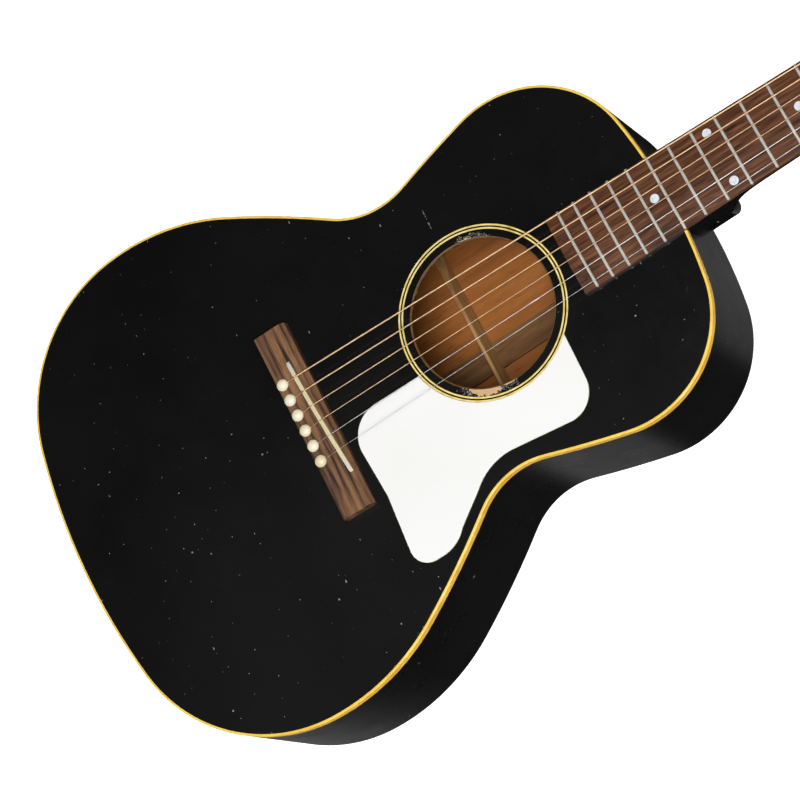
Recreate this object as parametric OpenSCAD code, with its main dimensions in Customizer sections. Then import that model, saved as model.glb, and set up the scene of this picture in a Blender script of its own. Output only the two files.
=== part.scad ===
// Fourteen-fret flat-top acoustic guitar, lying on its back with the strings up.
// X runs from the bass side to the treble side, Y from the tail to the headstock, Z upwards.
// The origin is the middle of the bottom face of the bounding box.

/* [Scale and neck] */
// Vibrating length of the strings, nut to saddle line
scale_length = 628.65; // [620:0.05:640]
// Number of frets
fret_count = 19; // [19:1:20]
// Width of the fingerboard at the nut
nut_width = 44.4; // [42:0.1:48]
// Width of the fingerboard at the body
joint_width = 57.6; // [54:0.1:60]
// Thickness of the fingerboard
fingerboard_t = 4.8; // [4:0.1:7]
// Radius of the fingerboard's crowned top
fingerboard_r = 305; // [250:5:400]
// Depth of the neck's wood under the fingerboard at the nut
neck_t = 15.5; // [14:0.1:18]
// Depth of the heel below the soundboard's top
heel_depth = 89; // [80:1:90]
// Angle of the headstock behind the nut
head_angle = 17; // [10:0.5:17]
// Length of the headstock's face
head_l = 178; // [170:1:190]

/* [Body] */
// Depth of the body on its centre line at the neck
neck_end_depth = 98; // [95:1:105]
// Depth of the body on its centre line at the tail
tail_depth = 119; // [112:1:125]
// Radius of the back's arch, side to side
back_arch_r = 4600; // [3500:100:8000]
// Thickness of the soundboard
soundboard_t = 2.8; // [2.5:0.1:3.2]
// Thickness of the back
back_t = 2.6; // [2.4:0.1:3.2]
// Thickness of the bent sides
side_t = 2.4; // [2.2:0.1:2.8]
// Width of the binding, seen from above
binding_w = 1.8; // [1.2:0.1:2]
// Height of the binding
binding_h = 6; // [4:0.5:7]
// Radius of the soundhole
soundhole_r = 51.9; // [48:0.5:52]
// Distance from the nut to the soundhole's centre
soundhole_from_nut = 497.8; // [495:0.1:500]

/* [Bridge and strings] */
// Length of the bridge, side to side
bridge_l = 147; // [140:1:155]
// Width of the bridge, along the strings
bridge_w = 25; // [24:0.5:27]
// Thickness of the bridge
bridge_h = 8; // [7:0.5:9]
// Distance from the nut to the middle of the bridge
bridge_from_nut = 637.1; // [636:0.1:640]
// Distance from the nut to the bridge pins
pins_from_nut = 644.8; // [644:0.1:646]
// Distance between neighbouring bridge pins
pin_pitch = 12.4; // [11:0.1:12.5]
// Distance between neighbouring strings at the nut
nut_pitch = 7.5; // [7:0.1:7.8]
// Height of the saddle's crown above the soundboard
saddle_top = 10.6; // [10:0.1:12]

/* [Tuners] */
// Distance between neighbouring string posts
post_pitch = 39; // [38:1:40]
// Teeth on each worm gear
gear_teeth = 14; // [14:1:14]
// Distance from the string post's axis to the worm's axis
worm_distance = 6.75; // [6.75:0.05:6.8]

/* [Hidden] */
$fn = 48;
eps = 0.01;
fit = 0.05;   // running clearance, on the radius
glue = 0.02;  // glue line round an inlay or a pressed part

// ---- Body outline: arcs from the tail's middle round to the neck, each [radius, turn] ----
// A negative radius and turn bend the other way, which makes the waist.
bouts = [[480, 11], [120, 76], [162, 33.5], [680, 7], [-60, -55.5], [860, 4], [78, 94.5]];
outline_sag = 0.04;  // how far a chord of the outline may lie inside its arc

function normal(a) = [sin(a), -cos(a)];
function heading(k) = k == 0 ? 0 : heading(k - 1) + bouts[k - 1][1];
function centre(k) =
    k == 0 ? [0, bouts[0][0]]
    : centre(k - 1) + (bouts[k - 1][0] - bouts[k][0]) * normal(heading(k));
last = len(bouts) - 1;
shoulder_turn = heading(last + 1);
shoulder_r = bouts[last][0] + centre(last)[0] / sin(shoulder_turn);
shoulder_centre = [0, centre(last)[1] + (bouts[last][0] - shoulder_r) * normal(shoulder_turn)[1]];
body_l = shoulder_centre[1] + shoulder_r;

function arc_steps(r, turn) = ceil(abs(turn) / (2 * acos(1 - outline_sag / abs(r))));
function arc_points(c, r, a0, turn) =
    let (n = arc_steps(r, turn)) [for (i = [0:n - 1]) c + r * normal(a0 + turn * i / n)];
function half_outline(inset) = concat(
    [for (k = [0:last]) each arc_points(centre(k), bouts[k][0] - inset, heading(k), bouts[k][1])],
    arc_points(shoulder_centre, shoulder_r - inset, shoulder_turn, 180 - shoulder_turn)
);
function outline(inset) =
    let (half = half_outline(inset), n = len(half))
    concat(half, [[0, body_l - inset]], [for (i = [n - 1:-1:1]) [-half[i][0], half[i][1]]]);

// ---- Places along the guitar ----
fret_over_body = 0.9;  // the 14th fret stands this far inside the body's edge
nut_t = 5;
nut_gap = 0.3;         // between the nut and the headstock's veneer
end_pin_out = 9.5;
head_face_t = 1.5;     // the headstock's veneer
head_t = 13.5;         // the headstock's wood

function fret_at(n) = scale_length * (1 - pow(2, -n / 12));
joint_from_nut = fret_at(14) - fret_over_body;
length_from_nut = joint_from_nut + body_l + end_pin_out;
head_reach = nut_t + head_l * cos(head_angle) + head_face_t * sin(head_angle);
nut_y = (length_from_nut - head_reach) / 2;
joint_y = nut_y - joint_from_nut;
tail_y = joint_y - body_l;
hole_y = nut_y - soundhole_from_nut;
bridge_y = nut_y - bridge_from_nut;
pins_y = nut_y - pins_from_nut;
top_z = tail_depth;
back_slope = atan((tail_depth - neck_end_depth) / body_l);
fingerboard_l = fret_at(fret_count) + 9.8;

// Half width of the fingerboard at a distance from the nut
function board_half(d) = nut_width / 2 + (joint_width - nut_width) / 2 * d / fret_at(14);

// ---- Body helpers ----
module outline_prism(inset, z0, z1) {
    translate([0, tail_y, z0]) linear_extrude(z1 - z0) polygon(outline(inset));
}

module rim_band(outer, inner, z0, z1) {
    translate([0, tail_y, z0]) linear_extrude(z1 - z0) difference() {
        polygon(outline(outer));
        polygon(outline(inner));
    }
}

// Everything above the arched back's outer face, raised by off
arch_half = 200;
arch_steps = 20;
function arch(x) = x * x / (2 * back_arch_r);
module above_back(off) {
    l = body_l + 40;
    profile = concat(
        [for (i = [-arch_steps:arch_steps]) let (x = arch_half * i / arch_steps) [x, arch(x) + off]],
        [[arch_half, 160], [-arch_half, 160]]
    );
    translate([0, tail_y, 0]) rotate([back_slope, 0, 0]) translate([0, l - 20, 0])
        rotate([90, 0, 0]) linear_extrude(l) polygon(profile);
}

// The neck's dovetail, which the block, the sides, the top and the binding are cut for
dovetail_l = 18;
dovetail_h = 64;
dovetail_neck = 8;   // half its width at the body's edge
dovetail_tail = 12;  // half its width at its far end
module dovetail() {
    translate([0, joint_y, top_z - dovetail_h]) linear_extrude(dovetail_h) polygon([
        [-dovetail_neck, 2], [dovetail_neck, 2], [dovetail_neck, -1], [dovetail_tail, -dovetail_l],
        [-dovetail_tail, -dovetail_l], [-dovetail_neck, -1]
    ]);
}

block_l = 48;
neck_block_w = 76;
tail_block_l = 18;
tail_block_w = 80;
lining_w = 6;
lining_h = 14;
end_pin_z = top_z - 58;
end_pin_r = 4.6;

module tail_hole() {
    translate([0, tail_y - 1, end_pin_z]) rotate([-90, 0, 0]) cylinder(r = end_pin_r + glue, h = 40);
}

// ---- Bridge pins and strings: places ----
gauges = [1.35, 1.07, 0.81, 0.61, 0.43, 0.30];
string_count = 6;
function across(n) = n - 3.5;                         // strings run from 1, the lowest, to 6
function pin_x(n) = across(n) * pin_pitch;
function nut_x(n) = across(n) * nut_pitch;
saddle_from_nut = 632;
saddle_slant = 3.7;
saddle_t = 3;
saddle_l = 93;
saddle_y = nut_y - saddle_from_nut;
function saddle_y_at(x) = saddle_y + x * tan(saddle_slant);
saddle_crown_r = 450;
bridge_x = 1.8;    // the bridge's middle, off the centre line
saddle_x = 2.5;    // the saddle's middle, off the centre line
function crown_z(x) = top_z + saddle_top - x * x / (2 * saddle_crown_r);
nut_slot_z = top_z + fingerboard_t + 1.35;
function nut_slot_at(x) = nut_slot_z - x * x / (2 * fingerboard_r);
pin_string_gap = 2.75;
bridge_plate_t = 2.5;
ball_drop = soundboard_t + bridge_plate_t + 2.1;

pin_top_r = 2.65;
pin_tip_r = 2.15;
pin_l = 24;
module pin_taper(gap) {
    translate([0, 0, -pin_l]) cylinder(r1 = pin_tip_r + gap, r2 = pin_top_r + gap, h = pin_l);
}

// The six reamed holes, each with its slot for the string
module pin_holes() {
    for (n = [1:string_count]) translate([pin_x(n), pins_y, top_z + bridge_h]) {
        translate([0, 0, eps]) pin_taper(glue + eps);
        translate([-0.85, 0, -pin_l]) cube([1.7, pin_string_gap + 0.85, pin_l + 1]);
    }
}

// ---- Body ----
rosette_rings = [[58.1, 59.3], [60.4, 61.6]];
rosette_t = 0.8;

module soundboard() color([0.1, 0.1, 0.1]) difference() {
    outline_prism(binding_w, top_z - soundboard_t, top_z);
    translate([0, hole_y, top_z - 10]) cylinder(r = soundhole_r, h = 20, $fn = 120);
    for (ring = rosette_rings) translate([0, hole_y, top_z - rosette_t]) difference() {
        cylinder(r = ring[1] + glue, h = 2, $fn = 120);
        translate([0, 0, -1]) cylinder(r = ring[0] - glue, h = 4, $fn = 120);
    }
    pin_holes();
    dovetail();
}

module back_plate() color([0.45, 0.22, 0.1]) difference() {
    intersection() {
        outline_prism(0, -5, top_z);
        above_back(0);
    }
    above_back(back_t);
}

module side(half) color([0.12, 0.12, 0.13]) difference() {
    intersection() {
        rim_band(0, side_t, 0, top_z - soundboard_t);
        above_back(back_t);
        translate([half > 0 ? 0 : -250, tail_y - 10, -5]) cube([250, body_l + 20, 200]);
    }
    rim_band(-3, binding_w, top_z - binding_h, top_z + 1);
    dovetail();
    tail_hole();
}
module side_bass() side(-1);
module side_treble() side(1);

module top_binding() color([0.93, 0.75, 0.3]) difference() {
    rim_band(0, binding_w, top_z - binding_h, top_z);
    dovetail();
}

module neck_block() color([0.5, 0.3, 0.16]) difference() {
    intersection() {
        outline_prism(side_t, 0, top_z - soundboard_t);
        translate([-neck_block_w / 2, joint_y - block_l, 0]) cube([neck_block_w, block_l, top_z]);
        above_back(back_t);
    }
    dovetail();
}

module tail_block() color([0.5, 0.3, 0.16]) difference() {
    intersection() {
        outline_prism(side_t, 0, top_z - soundboard_t);
        translate([-tail_block_w / 2, tail_y, 0]) cube([tail_block_w, tail_block_l, top_z]);
        above_back(back_t);
    }
    tail_hole();
}

module block_space() {
    translate([-neck_block_w / 2, joint_y - block_l, 0]) cube([neck_block_w, 100, 200]);
    translate([-tail_block_w / 2, tail_y - 50, 0]) cube([tail_block_w, tail_block_l + 50, 200]);
}

// Stepped strips that widen the glue joint between the sides and the plates
module lining_steps(z0, z1, dir) {
    rim_band(side_t, side_t + lining_w, dir > 0 ? z1 - lining_h / 2 : z0, dir > 0 ? z1 : z0 + lining_h / 2);
    rim_band(side_t, side_t + lining_w / 2, dir > 0 ? z1 - lining_h : z0, dir > 0 ? z1 : z0 + lining_h);
}

module linings() color([0.55, 0.36, 0.2]) {
    difference() {
        lining_steps(0, top_z - soundboard_t, 1);
        block_space();
    }
    difference() {
        intersection() {
            rim_band(side_t, side_t + lining_w, 0, top_z);
            above_back(back_t);
        }
        above_back(back_t + lining_h / 2);
        block_space();
    }
}

// A brace under the soundboard from a to b, with its ends shaved down
module top_brace(a, b, w, h) {
    d = b - a;
    l = norm(d);
    end = min(32, l / 3);
    translate([a[0], a[1], top_z - soundboard_t]) rotate([0, 0, atan2(d[1], d[0])])
        translate([0, w / 2, 0]) rotate([90, 0, 0]) linear_extrude(w)
            polygon([[0, 0], [l, 0], [l, -3], [l - end, -h], [end, -h], [0, -3]]);
}

cross_y = hole_y - 84;     // where the two long braces of the X cross
cross_angle = 49;          // of each one from the centre line
x_brace_w = 7.5;
x_brace_h = 14;
function cross_point(y, side) = [side * (cross_y - y) * tan(cross_angle), y];
module x_brace(side) {
    top_brace(cross_point(cross_y - 118, side), cross_point(cross_y + 84, side), x_brace_w, x_brace_h);
}
// The lap joint: one brace keeps its upper half, the other its lower half
module cross_lap(lower) {
    lap = 24;
    translate([-lap / 2, cross_y - lap / 2, top_z - soundboard_t - (lower ? x_brace_h + 1 : x_brace_h / 2)])
        cube([lap, lap, x_brace_h / 2 + 1]);
}

module top_braces() color([0.8, 0.65, 0.42]) {
    difference() {
        x_brace(1);
        intersection() {
            cross_lap(true);
            x_brace(-1);
        }
    }
    difference() {
        x_brace(-1);
        intersection() {
            cross_lap(false);
            x_brace(1);
        }
    }
    top_brace([-98, hole_y + 66], [98, hole_y + 66], 9, 15);
    top_brace([-56, hole_y - 22], [-56, hole_y + 40], 6, 3);
    top_brace([56, hole_y - 22], [56, hole_y + 40], 6, 3);
    top_brace([-40, cross_y - 92], [52, cross_y - 128], 6.5, 10);
    top_brace([-34, cross_y - 124], [44, cross_y - 155], 6.5, 9);
    for (side = [-1, 1]) {
        top_brace([side * 96, cross_y - 50], [side * 150, cross_y - 62], 6, 7);
        top_brace([side * 74, cross_y - 14], [side * 122, cross_y - 10], 6, 7);
    }
}

// Hardwood under the bridge, between the legs of the X
module bridge_plate() color([0.75, 0.6, 0.42]) {
    front = bridge_y + 19;
    rear = bridge_y - 19;
    side_gap = x_brace_w / 2 / cos(cross_angle) + 0.5;
    wf = cross_point(front, 1)[0] - side_gap;
    wr = cross_point(rear, 1)[0] - side_gap;
    difference() {
        translate([0, 0, top_z - soundboard_t - bridge_plate_t]) linear_extrude(bridge_plate_t)
            polygon([[-wf, front], [wf, front], [wr, rear], [-wr, rear]]);
        pin_holes();
    }
}

// Ladder braces on the back, each [y from the soundhole, width, height]: gabled, with shaved ends
ladder = [[92, 9, 14], [-33.3, 8.6, 13.4], [-128, 18, 11], [-226, 18, 11]];
ridge_half = 1.2;
eaves_h = 2;
brace_full = 59;    // half the length that has its full height
brace_shaved = 90;  // where the shaved end has come down to its least height
brace_end_h = 2.5;
brace_foot = -5;    // below the back's inner face, to be cut off by it
module ladder_brace(b) {
    w = b[1] / 2;
    h = b[2];
    far_h = arch(arch_half) + brace_end_h;
    near_h = arch(brace_shaved) + brace_end_h;
    floor_z = (hole_y + b[0] - tail_y) * tan(back_slope) + back_t;
    intersection() {
        outline_prism(side_t + lining_w + 0.2, 0, top_z - 40);
        above_back(back_t);
        translate([-arch_half, hole_y + b[0], floor_z]) rotate([90, 0, 90]) linear_extrude(2 * arch_half)
            polygon([[-w, brace_foot], [w, brace_foot], [w, eaves_h], [ridge_half, h], [-ridge_half, h],
                     [-w, eaves_h]]);
        translate([0, hole_y + b[0] + b[1], floor_z]) rotate([90, 0, 0]) linear_extrude(2 * b[1])
            polygon([[-arch_half, brace_foot], [arch_half, brace_foot], [arch_half, far_h],
                     [brace_shaved, near_h], [brace_full, h], [-brace_full, h], [-brace_shaved, near_h],
                     [-arch_half, far_h]]);
    }
}

module back_braces() color([0.62, 0.45, 0.26]) for (b = ladder) ladder_brace(b);

strip_x = -3.8;  // the strip's middle, off the centre line
strip_w = 20;
strip_t = 2.5;
module back_centre_strip() color([0.6, 0.48, 0.3]) difference() {
    intersection() {
        translate([strip_x - strip_w / 2, tail_y + tail_block_l, 0])
            cube([strip_w, body_l - tail_block_l - block_l, 60]);
        above_back(back_t);
    }
    above_back(back_t + strip_t);
    for (b = ladder) translate([-220, hole_y + b[0] - b[1] / 2, 0]) cube([440, b[1], 100]);
}

module rosette() color([0.93, 0.75, 0.3]) for (ring = rosette_rings)
    translate([0, hole_y, top_z - rosette_t + glue]) difference() {
        cylinder(r = ring[1], h = rosette_t - glue, $fn = 120);
        translate([0, 0, -1]) cylinder(r = ring[0], h = 3, $fn = 120);
    }

// ---- Pickguard: arcs about points measured from the soundhole's centre ----
pickguard_t = 1;
function sweep_arc(c, r, a0, a1) =
    let (n = max(3, ceil(abs(a1 - a0) / 6)))
    [for (i = [0:n]) let (a = a0 + (a1 - a0) * i / n) c + r * [cos(a), sin(a)]];
guard_edge_r = 61.8;
module pickguard() color([0.95, 0.95, 0.93]) {
    outline = concat(
        sweep_arc([0, 0], guard_edge_r, -76.8, 43.8),
        sweep_arc([78, 20], 21.6, 90, 0),
        sweep_arc([138, -30], 44, 172, 223),
        sweep_arc([104, -103], 28, 50, 0),
        sweep_arc([118, -107.8], 14, 0, -96),
        [[75, -118.3]],
        sweep_arc([38, -96.5], 24, -90, -180)
    );
    translate([0, hole_y, top_z]) linear_extrude(pickguard_t) polygon(outline);
}

// ---- Bridge ----
module saddle_blank(z0, t, l) {
    translate([0, saddle_y, 0]) rotate([0, 0, saddle_slant]) translate([saddle_x - l / 2, -t / 2, z0])
        cube([l, t, 20]);
}

module bridge() color([0.35, 0.21, 0.13]) difference() {
    translate([bridge_x - bridge_l / 2, bridge_y, top_z]) rotate([90, 0, 90]) linear_extrude(bridge_l)
        polygon([[-bridge_w / 2, 0], [bridge_w / 2, 0], [bridge_w / 2, 4.8], [bridge_w / 2 - 3.4, bridge_h],
                 [-bridge_w / 2 + 0.6, bridge_h], [-bridge_w / 2, bridge_h - 0.6]]);
    saddle_blank(top_z + 3, saddle_t + 2 * glue, saddle_l + 2 * glue);
    pin_holes();
}

module saddle() color([0.9, 0.87, 0.76]) difference() {
    intersection() {
        saddle_blank(top_z + 3 + glue, saddle_t, saddle_l);
        translate([0, saddle_y + 20, 0]) rotate([90, 0, 0]) linear_extrude(40)
            polygon(concat(
                [for (i = [-12:12]) let (x = saddle_x + saddle_l * i / 23) [x, crown_z(x)]],
                [[saddle_l, top_z], [-saddle_l, top_z]]
            ));
    }
    for (n = [1:string_count]) string_bend(n, saddle_point, gauges[n - 1] / 2 + 0.06);
}

pin_head_r = 4.4;
module bridge_pins() color([0.93, 0.88, 0.74]) for (n = [1:string_count])
    translate([pin_x(n), pins_y, top_z + bridge_h]) difference() {
        union() {
            pin_taper(0);
            rotate_extrude() polygon([
                [0, -1], [2.2, -1], [2.2, 0.1], [3.5, 0.1], [4.2, 0.8], [pin_head_r, 1.6],
                [4.2, 2.5], [3.5, 3.3], [2.3, 3.9], [1, 4.15], [0, 4.2]
            ]);
        }
        translate([-0.8, 1.75, -pin_l - 1]) cube([1.6, 6, pin_l + 3]);
    }

module end_pin() color([0.93, 0.88, 0.74]) translate([0, tail_y, end_pin_z]) rotate([90, 0, 0])
    rotate_extrude() polygon([
        [0, -24], [end_pin_r - 0.4, -24], [end_pin_r, 0], [6, 0.1], [6, 1.2],
        [end_pin_r, 2.4], [end_pin_r, 4.8], [6.5, 6], [6.5, 8], [5.8, 8.9], [4, end_pin_out - 0.2],
        [0, end_pin_out]
    ]);

// ---- Neck ----
// Rings of the shaft and heel: each is [distance from the nut, top z, depth, narrowing to the bottom]
heel_start = 292;
heel_full = 321;
heel_narrowing = 0.46;
shaft_t = neck_t + 3;
heel_steps = 10;
function head_z(d) = d < -nut_t ? (d + nut_t) * tan(head_angle) : 0;
function shaft_ring(d) = [d, head_z(d), neck_t + (shaft_t - neck_t) * max(d, 0) / heel_start + head_z(d), 0];
function heel_ring(i) =
    let (a = 90 * i / heel_steps)
    [heel_start + (heel_full - heel_start) * sin(a), 0, shaft_t + (heel_depth - shaft_t) * (1 - cos(a)),
     heel_narrowing * (1 - cos(a))];
neck_rings = concat(
    [for (d = [-16, -10, -nut_t, 0, 40, 110, 180, 240]) shaft_ring(d)],
    [for (i = [0:heel_steps]) heel_ring(i)],
    [[joint_from_nut + 12, 0, heel_depth, heel_narrowing]]
);
ring_sides = 24;
function ring_point(ring, k) =
    let (a = 180 * k / ring_sides, s = sin(a), d = ring[0])
    [board_half(d) * cos(a) * (1 - ring[3] * s * s), nut_y - d, top_z + ring[1] - ring[2] * pow(s, 0.86)];

module neck_skin() {
    n = ring_sides + 1;
    m = len(neck_rings);
    polyhedron(
        points = [for (ring = neck_rings) for (k = [0:ring_sides]) ring_point(ring, k)],
        faces = concat(
            [[for (k = [ring_sides:-1:0]) k]],
            [[for (k = [0:ring_sides]) (m - 1) * n + k]],
            [for (j = [0:m - 2]) for (k = [0:ring_sides]) let (q = (k + 1) % n)
                each [[j * n + k, j * n + q, (j + 1) * n + q], [j * n + k, (j + 1) * n + q, (j + 1) * n + k]]]
        )
    );
}

// The headstock's own frame: face of its wood at z = 0, y along it from the nut
module on_headstock() {
    translate([0, nut_y + nut_t, top_z]) rotate([-head_angle, 0, 0]) children();
}

head_points = concat(
    [[-23, 0], [23, 0]],
    sweep_arc([66, 18], 40, 196, 152),
    sweep_arc([30, head_l - 11.5], 8, 0, 78),
    sweep_arc([0, head_l - 160], 160, 80.5, 99.5),
    sweep_arc([-30, head_l - 11.5], 8, 102, 180),
    sweep_arc([-66, 18], 40, 28, -16)
);

rod_z = top_z - 8.5;
rod_r = 2.4;
rod_l = 352;
rod_hole_l = 368;
rod_nut_r = 4.2;     // to the corners of its hexagon
rod_nut_l = 11;
rod_nut_gap = 0.4;   // between the turning nut and its pocket
rod_nut_y = nut_y + nut_t + 3.5;
pocket_w = 9.6;
pocket_l = 29;
module rod_pocket() {
    translate([-pocket_w / 2, nut_y + nut_t + 2.5, rod_z - rod_nut_r - rod_nut_gap])
        cube([pocket_w, pocket_l, 30]);
}

cover_screws = [[-9, 8.5, 0], [9, 8.5, 0], [0, 57, 0]];
module cover_screw_places() for (p = cover_screws) translate(p) children();

module neck() color([0.1, 0.1, 0.1]) difference() {
    union() {
        difference() {
            neck_skin();
            outline_prism(0, -5, top_z + 5);
        }
        dovetail();
        on_headstock() translate([0, 0, -head_t]) linear_extrude(head_t) polygon(head_points);
    }
    translate([0, nut_y + 30, rod_z]) rotate([90, 0, 0]) cylinder(r = rod_r + 0.1, h = rod_hole_l);
    rod_pocket();
    on_headstock() cover_screw_places() translate([0, 0, -9]) cylinder(r = 1 + fit, h = 20);
    each_tuner() {
        translate([0, 0, -20]) cylinder(r = 3.4, h = 30);
        translate([0, 0, -8]) cylinder(r = bushing_r + glue, h = 20);
    }
    each_plate() plate_screw_places() translate([0, 0, -head_t - 5]) cylinder(r = 1 + fit, h = 12);
}

module fingerboard_plan(grow) {
    near = board_half(0) + grow;
    far = board_half(fingerboard_l) + grow;
    translate([0, nut_y, 0])
        polygon([[-near, 0], [near, 0], [far, -fingerboard_l], [-far, -fingerboard_l]]);
}

// A ring section about the fingerboard's crown axis, from a profile of [radius, y] points
crown_axis_z = top_z + fingerboard_t - fingerboard_r;
crown_turn = 13;
module crowned(y) {
    translate([0, y, crown_axis_z]) rotate([90, 0, 0]) rotate([0, 0, 90 - crown_turn / 2])
        rotate_extrude(angle = crown_turn, $fn = 360) children();
}

tang_t = 0.55;
tang_h = 2;
fret_w = 2;
fret_h = 1;
module fret_profile() {
    half = [[-tang_h, tang_t / 2], [0, tang_t / 2], [0, fret_w / 2], [0.35, fret_w / 2],
            [0.75, fret_w * 0.36], [fret_h, fret_w * 0.14]];
    last_point = len(half) - 1;
    translate([fingerboard_r + glue, 0])
        polygon(concat([for (i = [0:last_point]) [half[i][0], -half[i][1]]],
                       [for (i = [last_point:-1:0]) half[i]]));
}

dot_r = 3.2;
dot_t = 1.5;
function between_frets(n) = nut_y - (fret_at(n) + fret_at(n - 1)) / 2;
dots = [[0, 3], [0, 5], [0, 7], [0, 9], [-19.2, 12], [19.2, 12], [0, 15]];
module dot_places() {
    for (p = dots) translate([p[0], between_frets(p[1]), top_z + fingerboard_t - dot_t - 0.35]) children();
}
module under_crown() {
    translate([0, nut_y + 5, crown_axis_z]) rotate([90, 0, 0])
        cylinder(r = fingerboard_r, h = fingerboard_l + 10, $fn = 360);
}

module fingerboard() color([0.36, 0.2, 0.14]) difference() {
    intersection() {
        translate([0, 0, top_z]) linear_extrude(fingerboard_t + 1) fingerboard_plan(0);
        under_crown();
    }
    for (n = [1:fret_count]) crowned(nut_y - fret_at(n))
        translate([fingerboard_r - tang_h - 0.05, -0.3]) square([tang_h + 2, 0.6]);
    dot_places() cylinder(r = dot_r + glue, h = 5);
}

module frets() color([0.75, 0.75, 0.72]) intersection() {
    for (n = [1:fret_count]) crowned(nut_y - fret_at(n)) fret_profile();
    translate([0, 0, top_z]) linear_extrude(fingerboard_t + 5) fingerboard_plan(0.1);
}

module position_dots() color([0.93, 0.95, 0.96]) intersection() {
    dot_places() translate([0, 0, glue]) cylinder(r = dot_r, h = 5);
    under_crown();
}

nut_front = fingerboard_t + 2.6;
module nut() color([0.9, 0.87, 0.76]) difference() {
    translate([-nut_width / 2, nut_y, top_z]) rotate([90, 0, 90]) linear_extrude(nut_width)
        polygon([[0, 0], [nut_t - nut_gap, 0], [nut_t - nut_gap, fingerboard_t + 0.2],
                 [nut_t / 2, nut_front - 0.2], [0, nut_front]]);
    for (n = [1:string_count]) string_bend(n, nut_point, gauges[n - 1] / 2 + 0.06);
}

module headstock_veneer() color([0.08, 0.08, 0.08]) difference() {
    on_headstock() intersection() {
        linear_extrude(head_face_t) polygon(head_points);
        translate([-50, 0.5, -1]) cube([100, 200, 10]);
    }
    rod_pocket();
    on_headstock() cover_screw_places() translate([0, 0, -1]) cylinder(r = 1 + fit, h = 5);
    each_tuner() translate([0, 0, -1]) cylinder(r = bushing_r + glue, h = 5);
}

module truss_rod() color([0.6, 0.6, 0.62])
    translate([0, rod_nut_y + rod_nut_l + 2.5, rod_z]) rotate([90, 0, 0]) cylinder(r = rod_r, h = rod_l);

module truss_rod_nut() color([0.8, 0.65, 0.35])
    translate([0, rod_nut_y, rod_z]) rotate([-90, 0, 0]) difference() {
        cylinder(r = rod_nut_r, h = rod_nut_l, $fn = 6);
        translate([0, 0, -1]) cylinder(r = rod_r + fit, h = rod_nut_l + 2);
    }

// A bell-shaped plate over the truss rod's pocket
cover_t = 1.6;
module truss_rod_cover() color([0.07, 0.07, 0.07]) on_headstock() difference() {
    translate([0, 0, head_face_t]) linear_extrude(cover_t) polygon(concat(
        [[-12, 5], [12, 5]],
        sweep_arc([26, 28], 17, 215, 150),
        sweep_arc([0, 55], 7.4, -20, 200),
        sweep_arc([-26, 28], 17, 30, -35)
    ));
    cover_screw_places() cylinder(r = 1 + fit, h = 10);
}

// ---- Tuners ----
// Each side's plate has its own frame: origin at the post nearest the nut, x outwards, y along the plate
plate_t = 1.2;
plate_z = -head_t - plate_t;
plate_w = 14;
plate_start = 15;
plate_l = 2 * post_pitch + 27;
splay = 3.5;
first_post = [22, 47];
bushing_r = 4;
gear_r = 4.55;
gear_z = plate_z - 3.2;
gear_t = 2.4;
ear_x = 6;
ear_t = 1.3;
shaft_r = 1.5;
worm_pitch = 2 * PI * gear_r / gear_teeth;

module plate_frame(side) {
    on_headstock() translate([side * first_post[0], first_post[1], 0]) rotate([0, 0, -side * splay])
        mirror([side < 0 ? 1 : 0, 0, 0]) children();
}
module each_plate() for (side = [-1, 1]) plate_frame(side) children();
// Tuner 1 is string 1's, nearest the nut on the bass side; tuner 6 is nearest the nut on the treble side
function tuner_side(n) = n <= 3 ? -1 : 1;
function tuner_step(n) = n <= 3 ? n - 1 : 6 - n;
module at_tuner(n) plate_frame(tuner_side(n)) translate([0, tuner_step(n) * post_pitch, 0]) children();
module each_tuner() for (n = [1:6]) at_tuner(n) children();
plate_screws = [-12, 0.5 * post_pitch, 1.5 * post_pitch, 2 * post_pitch + 8.5];
module plate_screw_places() for (y = plate_screws) translate([0, y, 0]) children();

module tuner_ear() {
    translate([-ear_t / 2, -worm_distance, 0]) rotate([90, 0, 90]) difference() {
        union() {
            translate([-3, gear_z, 0]) cube([6, plate_z - gear_z, ear_t]);
            translate([0, gear_z, 0]) cylinder(r = 3, h = ear_t);
        }
        translate([0, gear_z, -1]) cylinder(r = shaft_r + fit, h = ear_t + 2);
    }
}

module tuner_plates() color([0.72, 0.72, 0.7]) each_plate() difference() {
    union() {
        translate([0, 0, plate_z]) linear_extrude(plate_t) polygon([
            [-plate_w / 2 + 3, -plate_start], [plate_w / 2 - 3, -plate_start], [plate_w / 2, 3 - plate_start],
            [plate_w / 2, plate_l - plate_start - 3], [plate_w / 2 - 3, plate_l - plate_start],
            [-plate_w / 2 + 3, plate_l - plate_start], [-plate_w / 2, plate_l - plate_start - 3],
            [-plate_w / 2, 3 - plate_start]
        ]);
        for (i = [0:2]) for (x = [-ear_x, ear_x]) translate([x, i * post_pitch, 0]) tuner_ear();
    }
    for (i = [0:2]) translate([0, i * post_pitch, plate_z - 1]) cylinder(r = post_r + fit, h = 4);
    plate_screw_places() translate([0, 0, plate_z - 1]) cylinder(r = 1 + fit, h = 4);
}

module tuner_bushings() color([0.72, 0.72, 0.7]) each_tuner() difference() {
    union() {
        translate([0, 0, -7.9]) cylinder(r = bushing_r, h = 7.9 + head_face_t + 0.05);
        translate([0, 0, head_face_t + 0.05]) cylinder(r1 = 5, r2 = 4.4, h = 1);
    }
    translate([0, 0, -10]) cylinder(r = post_r + fit, h = 20);
}

module screw(l) {
    rotate_extrude() polygon([
        [0, -l], [0.6, -l + 0.6], [1, -l + 2], [1, 0], [1.9, 0], [1.7, 0.6], [1.1, 1], [0, 1.15]
    ]);
}

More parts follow.
